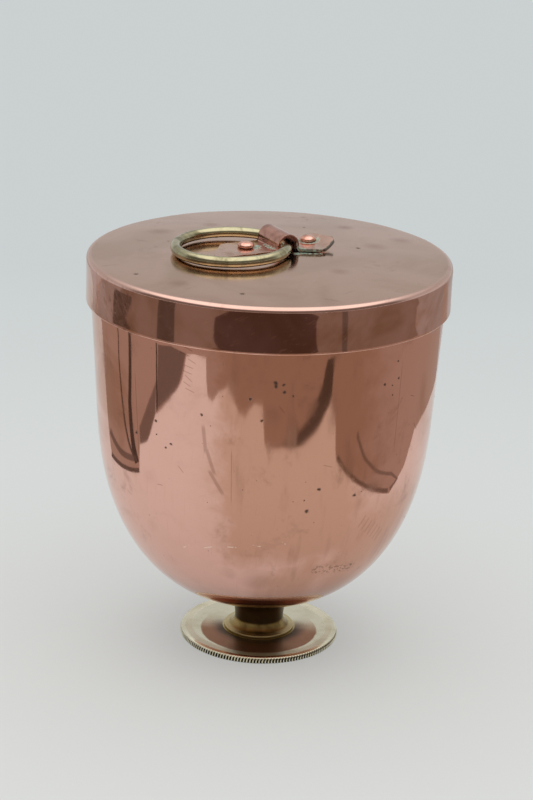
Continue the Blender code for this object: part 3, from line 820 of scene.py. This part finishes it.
def strap_path():
    """Side view of the strap's middle surface, from the left tip to the right one."""
    middle = STRAP_SHEET / 2
    rise = ARCH_HEIGHT - ARCH_RADIUS
    foot = ARCH_RADIUS + ARCH_FILLET
    path = []
    for step in range(24):
        path.append((-29 * MM + (29 * MM - foot) * step / 24, middle))
    path += arc((-foot, middle + ARCH_FILLET), ARCH_FILLET, 270, 360, 5)
    path += arc((0, rise), ARCH_RADIUS, 180, 0, 20)
    path += arc((foot, middle + ARCH_FILLET), ARCH_FILLET, 180, 270, 5)
    for step in range(1, 19):
        x = foot + (20.5 * MM - foot) * step / 18
        lift = max(0.0, (x - TIP_START) / (20.5 * MM - TIP_START))
        path.append((x, middle + TIP_LIFT * lift**1.8))
    return path


# The strap's two long edges from its left end to its right one: along and across it, in mm
STRAP_NEAR = [
    (-29.1, -7.2), (-27.8, -8.6), (-24.0, -8.8), (-5, -8.2), (4, -8.2),
    (11.2, -11.8), (13.5, -11.6), (20.0, -6.8), (20.6, -4.4),
]
STRAP_FAR = [
    (-29.1, -6.8), (-28.8, -4.8), (-20.6, 7.0), (-18.6, 8.6), (-4, 8.2),
    (4, 8.2), (16.0, 8.4), (18.3, 6.6), (20.6, -4.0),
]


def make_strap(copper):
    path = strap_path()
    rows = 17
    vertices = []
    for x, z in path:
        near = between(x / MM, STRAP_NEAR) * MM
        far = between(x / MM, STRAP_FAR) * MM
        for row in range(rows):
            y = near + (far - near) * row / (rows - 1)
            flat = min(1.0, max(0.0, (abs(x) - 6 * MM) / (4 * MM)))
            ripple = flat * 0.15 * MM * noise.noise(Vector((x, y, 0)) / (7 * MM))
            edge = flat * 0.25 * MM * noise.noise(Vector((x, row // 9, 3)) / (4 * MM)) * abs(row - 8) / 8
            vertices.append(HANDLE @ Vector((x, y + edge, z + ripple)))
    faces = []
    for i in range(len(path) - 1):
        for row in range(rows - 1):
            corner = i * rows + row
            faces.append((corner, corner + rows, corner + rows + 1, corner + 1))
    strap = new_piece("strap_sheet", vertices, faces, copper, "lid_body", sharp=60)
    thick = strap.modifiers.new("sheet", "SOLIDIFY")
    thick.thickness = STRAP_SHEET
    thick.offset = 0
    thick.use_even_offset = True
    soft = strap.modifiers.new("worn_edges", "BEVEL")
    soft.width = 0.2 * MM
    soft.segments = 2
    soft.angle_limit = math.radians(50)
    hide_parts("ring_strap")


def make_ring(brass):
    sagitta = RING_RADIUS - math.sqrt(RING_RADIUS**2 - STRAP_HALF_WIDTH**2)
    bpy.ops.mesh.primitive_torus_add(
        major_segments=144, minor_segments=28, major_radius=RING_RADIUS, minor_radius=RING_WIRE
    )
    ring = bpy.context.object
    ring.name = "ring_wire"
    for vertex in ring.data.vertices:
        swell = noise.noise(vertex.co / (9 * MM) + Vector((3, 1, 4)))
        spine = Vector((vertex.co.x, vertex.co.y, 0)).normalized() * RING_RADIUS
        vertex.co = spine + (vertex.co - spine) * (1 + 0.035 * swell)
    ring.data.transform(Matrix.Translation((sagitta / 2 - RING_RADIUS, 0, 0)))
    ring.data.transform(Matrix.Rotation(-RING_DROOP, 4, "Y"))
    turn = HANDLE.copy()
    turn.translation = Vector(HINGE["pos_m"]) - Vector((0, 0, RING_DROP))
    ring.data.transform(turn)
    ring.data.shade_smooth()
    ring.data.materials.append(brass)
    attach(ring, "ring_body")
    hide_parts("ring_handle")


def make_rivet(side, copper):
    low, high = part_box(f"rivet_{side}")
    centre = (low + high) / 2
    top = high.z
    seat = top - RIVET_HEAD_HEIGHT
    crown = []
    for step in range(11):
        angle = math.radians(90 * step / 10)
        crown.append((RIVET_HEAD_RADIUS * math.sin(angle), seat + 0.4 * MM + 1.5 * MM * math.cos(angle)))
    outline = crown + [
        (RIVET_HEAD_RADIUS - 0.15 * MM, seat),
        (1.5 * MM, seat),
        (1.5 * MM, low.z + 1.0 * MM),
        (2.7 * MM, low.z + 1.0 * MM),
        (2.2 * MM, low.z + 0.3 * MM),
        (0, low.z),
    ]

    def hammered(point):
        knock = noise.noise(point / (1.7 * MM) + Vector((ord(side[0]), 0, 0)))
        return point + Vector((centre.x, centre.y, 0)) - Vector((0, 0, 0.10 * MM * abs(knock)))

    vertices, faces = turn_outline(outline, 40, closed=False, shape=hammered)
    rivet = new_piece(f"rivet_{side}_round", vertices, faces, copper, "lid_body")
    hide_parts(f"rivet_{side}")


def shifted(point):
    """The foot sits a little to one side of the bowl's axis."""
    return point + Vector((FOOT_SHIFT, 0, 0))


def make_neck(brass):
    low = NECK_LOW.z
    high = NECK_HIGH.z
    foot = NECK_HIGH.x
    head = 13.0 * MM
    waist = 9.3 * MM
    waist_height = 6.6 * MM
    collar = high - 1.1 * MM
    lip = low + 0.7 * MM
    outline = [(2.8 * MM, high)] + arc((head - 0.2 * MM, high - 0.2 * MM), 0.2 * MM, 90, 0, 2)
    outline += arc((head - 0.2 * MM, collar + 0.2 * MM), 0.2 * MM, 0, -90, 2)
    for step in range(15):
        angle = math.radians(84 * (1 - step / 14))
        flare = (head - 0.6 * MM - waist) * (1 - math.cos(angle))
        outline.append((waist + flare, waist_height + (collar - waist_height) * math.sin(angle)))
    for step in range(1, 12):
        angle = math.radians(86 * step / 11)
        flare = (foot - 0.8 * MM - waist) * (1 - math.cos(angle))
        outline.append((waist + flare, waist_height - (waist_height - lip) * math.sin(angle)))
    outline += arc((foot - 0.3 * MM, low + 0.4 * MM), 0.3 * MM, 90, 0, 3)
    seat = DISC_HIGH.z - DISC_DISH + 0.02 * MM
    outline += [(foot, low), (foot - 0.4 * MM, seat), (2.8 * MM, seat)]
    vertices, faces = turn_outline(outline, 128, shape=shifted)
    neck = new_piece("neck_turned", vertices, faces, brass, "base_body", sharp=40)
    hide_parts("foot_neck")


def make_disc(brass):
    """The disc: flat in the middle, with a round rim and slanted ridges milled round its edge."""
    rim = DISC_HIGH.x
    top = DISC_HIGH.z
    flat = top - DISC_DISH
    profile = [(2.8 * MM, flat, 0), (10 * MM, flat, 0), (rim - 2.9 * MM, flat, 0)]
    profile += [(rim - 2.5 * MM, top - 0.02 * MM, 0), (rim - 2.1 * MM, top, 0)]
    for step in range(1, 9):
        angle = math.radians(78 * step / 8)
        reach = rim - 2.1 * MM + 2.05 * MM * math.sin(angle)
        profile.append((reach, top - 0.95 * MM * (1 - math.cos(angle)), max(0.0, step - 5) / 3))
    profile += [
        (rim, top - 1.0 * MM, 1),
        (rim, top - 1.4 * MM, 1),
        (rim, top - 1.9 * MM, 1),
        (rim, 0.35 * MM, 1),
        (rim - 0.2 * MM, 0.1 * MM, 0.6),
        (rim - 0.8 * MM, 0, 0),
        (5.0 * MM, 0, 0),
        (2.8 * MM, 1.2 * MM, 0),
    ]
    steps = TOOTH_COUNT * 4
    vertices = []
    for step in range(steps):
        angle = 2 * math.pi * step / steps
        groove = TOOTH_DEPTH * (0, 0.5, 1, 0.5)[step % 4]
        for radius, height, milled in profile:
            reach = radius - groove * milled
            lean = TOOTH_SLANT * 2 * math.pi / TOOTH_COUNT * min(1.0, (top - height) / (1.7 * MM))
            turn = angle - lean
            vertices.append(shifted(Vector((reach * math.sin(turn), -reach * math.cos(turn), height))))
    faces = turned_faces(steps, len(profile))
    disc = new_piece("disc_milled", vertices, faces, brass, "base_body", sharp=28)
    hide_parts("foot_disc")


# ---------------------------------------------------------------- room


# Green and blue of a card's light for each unit of red
WARM = (0.80, 0.67)
PALE = (0.99, 0.98)
BROWN = (0.66, 0.55)


def emission(name, level, tint):
    material = bpy.data.materials.new(name)
    material.use_nodes = True
    tree = material.node_tree
    tree.nodes.clear()
    glow = tree.nodes.new("ShaderNodeEmission")
    green, blue = tint
    glow.inputs["Color"].default_value = (level, level * green, level * blue, 1)
    output = tree.nodes.new("ShaderNodeOutputMaterial")
    tree.links.new(glow.outputs[0], output.inputs["Surface"])
    return material


def card(name, outline, level, layer, tint=WARM):
    """A flat dark shape just over the floor that only the polished metal sees."""
    shape = bmesh.new()
    corners = [shape.verts.new((x, y, 0.4 * MM * layer)) for x, y in outline]
    edges = [shape.edges.new((corners[i - 1], corners[i])) for i in range(len(corners))]
    bmesh.ops.triangle_fill(shape, use_beauty=True, edges=edges)
    mesh = bpy.data.meshes.new(name)
    shape.to_mesh(mesh)
    shape.free()
    mesh.materials.append(emission(name, level, tint))
    obj = new_object(name, mesh)
    obj.visible_camera = False
    obj.visible_diffuse = False
    obj.visible_shadow = False
    obj.visible_transmission = False


# Outlines on the floor in metres, read by eye from a map of what the bowl mirrors in the photo.
# CLOTH_LEFT and CLOTH_RIGHT are the edge of the pale cloth, SURROUND and BEYOND the darker room.
CLOTH_LEFT = [
    (-0.34, 0.30), (-0.29, 0.22), (-0.21, 0.125), (-0.176, 0.09), (-0.185, 0.03), (-0.19, -0.022),
    (-0.24, -0.03), (-0.242, -0.06), (-0.262, -0.095), (-0.256, -0.15), (-0.25, -0.20), (-0.262, -0.235),
    (-0.245, -0.262), (-0.205, -0.285), (-0.19, -0.268), (-0.17, -0.252), (-0.155, -0.256),
    (-0.143, -0.275), (-0.12, -0.293), (-0.10, -0.286), (-0.075, -0.276), (-0.055, -0.278),
    (-0.03, -0.293), (-0.005, -0.292), (0.003, -0.265),
]
CLOTH_RIGHT = [
    (0.01, -0.260), (0.05, -0.256), (0.10, -0.243), (0.15, -0.235), (0.197, -0.236), (0.192, -0.205),
    (0.168, -0.17), (0.166, -0.10), (0.163, 0.0), (0.185, 0.02), (0.20, 0.045), (0.225, 0.07),
    (0.243, 0.10), (0.236, 0.15), (0.205, 0.225), (0.16, 0.29),
]
SURROUND = [(0.5, 0.6), (1.6, 0.6), (1.6, -1.6), (-1.6, -1.6), (-1.6, 0.5), (-0.6, 0.45)]


BEYOND = [
    (-0.52, 0.10), (-0.45, 0.02), (-0.42, -0.15), (-0.37, -0.28), (-0.26, -0.38), (-0.1, -0.43),
    (0.1, -0.43), (0.26, -0.37), (0.37, -0.26), (0.43, -0.12), (0.46, 0.05), (0.55, 0.12), (3, 0.1),
    (3, -3), (-3, -3), (-3, 0.1),
]


FRONT_DARK = [
    (0.01, -0.262), (0.05, -0.258), (0.10, -0.244), (0.15, -0.237), (0.20, -0.238), (0.25, -0.285),
    (0.22, -0.29), (0.18, -0.267), (0.13, -0.256), (0.08, -0.257),
]
FRONT_TROUSERS = [
    (-0.242, -0.395), (-0.1, -0.45), (0.1, -0.45), (0.205, -0.40), (0.32, -0.55), (0.3, -1.2),
    (-0.3, -1.2), (-0.27, -0.5),
]
LEFT_PATCH = [(-0.35, -0.138), (-0.264, -0.104), (-0.252, -0.19), (-0.265, -0.235), (-0.33, -0.2)]
LEFT_CRESCENT = [
    (-0.262, -0.03), (-0.24, -0.032), (-0.242, -0.06), (-0.262, -0.094), (-0.30, -0.112),
    (-0.278, -0.06),
]
LEFT_BAR = [(-0.44, 0.026), (-0.29, 0.017), (-0.235, -0.004), (-0.204, -0.016)]
LEFT_THREAD = [
    (-0.40, 0.115), (-0.33, 0.088), (-0.29, 0.06), (-0.262, 0.038), (-0.232, 0.012), (-0.208, -0.014),
]
RIGHT_FOLD = [
    (0.17, 0.0), (0.185, 0.022), (0.198, 0.0), (0.203, -0.05), (0.215, -0.10), (0.23, -0.14),
]


def strip(points, width):
    """Outline of a strip of this width along the points."""
    left = []
    right = []
    for i, point in enumerate(points):
        before = Vector(points[max(i - 1, 0)])
        after = Vector(points[min(i + 1, len(points) - 1)])
        across = (after - before).normalized().orthogonal() * width / 2
        left.append(tuple(Vector(point) + across))
        right.append(tuple(Vector(point) - across))
    return left + right[::-1]


def make_cards():
    card("surround", CLOTH_LEFT + CLOTH_RIGHT + SURROUND, 0.37, 1)
    card("beyond", BEYOND, 0.23, 2)
    card("side_left", [(-0.46, 0.06), (-3, 0.10), (-3, 0.60), (-0.36, 0.28)], 0.32, 1, PALE)
    card("side_right", [(0.50, 0.09), (0.30, 0.27), (0.6, 0.6), (3, 0.6), (3, 0.12)], 0.33, 1, PALE)
    card("back_left", [(-0.34, 0.30), (-3, 0.6), (-3, 4), (-0.5, 4)], 0.46, 1, PALE)
    card("back_right", [(0.16, 0.29), (0.4, 4), (3, 4), (3, 0.6), (0.6, 0.6)], 0.46, 1, PALE)
    card("front_dark", FRONT_DARK, 0.10, 2)
    card("front_trousers", FRONT_TROUSERS, 0.085, 3, BROWN)
    card("left_patch", LEFT_PATCH, 0.16, 2)
    card("left_crescent", LEFT_CRESCENT, 0.18, 2)
    card("left_line", strip([(-0.36, -0.132), (-0.262, -0.102)], 0.006), 0.06, 3)
    card("left_bar", strip(LEFT_BAR, 0.016), 0.07, 3)
    card("left_thread", strip(LEFT_THREAD, 0.007), 0.10, 3)
    card("left_edge_outer", strip([(-0.213, 0.115), (-0.208, 0.05), (-0.212, -0.018)], 0.012), 0.17, 3)
    card("left_edge_inner", strip([(-0.178, 0.095), (-0.185, 0.03), (-0.19, -0.022)], 0.009), 0.13, 3)
    card("right_edge", strip([(0.168, -0.005), (0.171, -0.09), (0.172, -0.17)], 0.008), 0.17, 2)
    card("right_fold", strip(RIGHT_FOLD, 0.007), 0.2, 2)
    card("skirt_right", [(0.277, -0.289), (0.294, -0.272), (0.88, -0.815), (0.83, -0.866)], 0.13, 3)
    card("skirt_left", [(-0.44, -0.183), (-0.36, -0.245), (-0.95, -0.66), (-1.15, -0.48)], 0.10, 3)
    far_left = [(-0.60, 0.16), (-0.47, 0.14), (-0.47, 0.05), (-0.52, -0.02), (-0.60, -0.02)]
    card("skirt_far_left", far_left, 0.10, 3)


# (sine of the elevation, colour) of the light from the wall behind and from the room in front
WALL_LIGHT = [
    (0.0, (0.60, 0.62, 0.63)), (0.15, (0.56, 0.57, 0.57)), (0.45, (0.50, 0.50, 0.49)),
    (0.68, (0.80, 0.80, 0.80)), (0.80, (1.4, 1.38, 1.35)), (1.0, (1.5, 1.48, 1.45)),
]
ROOM_LIGHT = [
    (0.0, (0.20, 0.17, 0.15)), (0.40, (0.18, 0.155, 0.14)), (0.60, (0.30, 0.28, 0.26)),
    (0.72, (1.3, 1.28, 1.25)), (0.90, (1.5, 1.48, 1.45)), (1.0, (1.5, 1.48, 1.45)),
]


FLOOR = 12.0
FLOOR_NEAR = (0.451, 0.464, 0.459, 1)
FLOOR_FAR = (0.372, 0.399, 0.406, 1)
FLOOR_GLOW = 0.65

# Camera fitted to the photo: metres and degrees
CAMERA_PLACE = (-0.0002, -0.8287, 0.3797)
CAMERA_LENS = 104.9
CAMERA_PITCH = 18.97
CAMERA_YAW = 0.06
CAMERA_ROLL = 2.09


def make_floor():
    """A pale matt floor, a little darker and bluer towards the back."""
    mesh = bpy.data.meshes.new("floor")
    corners = [(-FLOOR, -FLOOR, 0), (FLOOR, -FLOOR, 0), (FLOOR, FLOOR, 0), (-FLOOR, FLOOR, 0)]
    mesh.from_pydata(corners, [], [(0, 1, 2, 3)])
    material = bpy.data.materials.new("pale_cloth")
    material.use_nodes = True
    tree = material.node_tree
    shader = tree.nodes["Principled BSDF"]
    shader.inputs["Roughness"].default_value = 0.9
    shader.inputs["Specular IOR Level"].default_value = 0.0
    place = tree.nodes.new("ShaderNodeTexCoord")
    parts = tree.nodes.new("ShaderNodeSeparateXYZ")
    depth = tree.nodes.new("ShaderNodeMapRange")
    depth.inputs["From Min"].default_value = -0.05
    depth.inputs["From Max"].default_value = 0.5
    tint = tree.nodes.new("ShaderNodeMix")
    tint.data_type = "RGBA"
    tint.inputs[6].default_value = FLOOR_NEAR
    tint.inputs[7].default_value = FLOOR_FAR
    tree.links.new(place.outputs["Object"], parts.inputs[0])
    tree.links.new(parts.outputs["Y"], depth.inputs["Value"])
    tree.links.new(depth.outputs[0], tint.inputs[0])
    tree.links.new(tint.outputs[2], shader.inputs["Base Color"])
    tree.links.new(tint.outputs[2], shader.inputs["Emission Color"])
    shader.inputs["Emission Strength"].default_value = FLOOR_GLOW
    mesh.materials.append(material)
    floor = new_object("floor", mesh)


def make_world():
    """Soft light from above, a pale wall behind, and a dimmer room on the camera's side."""
    world = bpy.data.worlds.new("soft_studio")
    bpy.context.scene.world = world
    world.use_nodes = True
    tree = world.node_tree
    background = tree.nodes["Background"]
    place = tree.nodes.new("ShaderNodeTexCoord")
    parts = tree.nodes.new("ShaderNodeSeparateXYZ")
    tree.links.new(place.outputs["Generated"], parts.inputs[0])

    def ramp(source, stops):
        node = tree.nodes.new("ShaderNodeValToRGB")
        elements = node.color_ramp.elements
        while len(elements) < len(stops):
            elements.new(0.5)
        for element, (where, colour) in zip(elements, stops):
            element.position = where
            element.color = (*colour, 1)
        tree.links.new(source, node.inputs[0])
        return node.outputs[0]

    behind = ramp(parts.outputs["Z"], WALL_LIGHT)
    before = ramp(parts.outputs["Z"], ROOM_LIGHT)
    side = tree.nodes.new("ShaderNodeMapRange")
    side.interpolation_type = "SMOOTHSTEP"
    side.inputs["From Min"].default_value = -0.15
    side.inputs["From Max"].default_value = 0.25
    tree.links.new(parts.outputs["Y"], side.inputs["Value"])
    mix = tree.nodes.new("ShaderNodeMix")
    mix.data_type = "RGBA"
    tree.links.new(side.outputs[0], mix.inputs[0])
    tree.links.new(before, mix.inputs[6])
    tree.links.new(behind, mix.inputs[7])
    tree.links.new(mix.outputs[2], background.inputs["Color"])


def make_camera():
    data = bpy.data.cameras.new("camera")
    data.lens = CAMERA_LENS
    data.sensor_width = 36
    camera = new_object("camera", data)
    pitch = math.radians(CAMERA_PITCH)
    yaw = math.radians(CAMERA_YAW)
    roll = math.radians(CAMERA_ROLL)
    forward = Vector((math.sin(yaw) * math.cos(pitch), math.cos(yaw) * math.cos(pitch), -math.sin(pitch)))
    level = forward.cross(Vector((0, 0, 1))).normalized()
    upright = level.cross(forward)
    right = math.cos(roll) * level + math.sin(roll) * upright
    up = math.cos(roll) * upright - math.sin(roll) * level
    turn = Matrix((right, up, -forward)).transposed().to_4x4()
    camera.matrix_world = Matrix.Translation(CAMERA_PLACE) @ turn
    bpy.context.scene.camera = camera


make_bowl(bowl_copper(), tin())
make_lid(lid_copper())
make_strap(strap_copper())
make_ring(ring_brass())
RIVET_PAINT = rivet_copper()
make_rivet("left", RIVET_PAINT)
make_rivet("right", RIVET_PAINT)
BRASS = foot_brass()
make_neck(BRASS)
make_disc(BRASS)
FIXING_PAINT = fixing_brass()
for node_name in ("foot_screw", "foot_washer", "foot_nut"):
    fixing = frame["nodes"][node_name]
    fixing.data.materials.clear()
    fixing.data.materials.append(FIXING_PAINT)

make_floor()
make_cards()
make_world()
make_camera()
bpy.context.scene.view_settings.view_transform = "Standard"
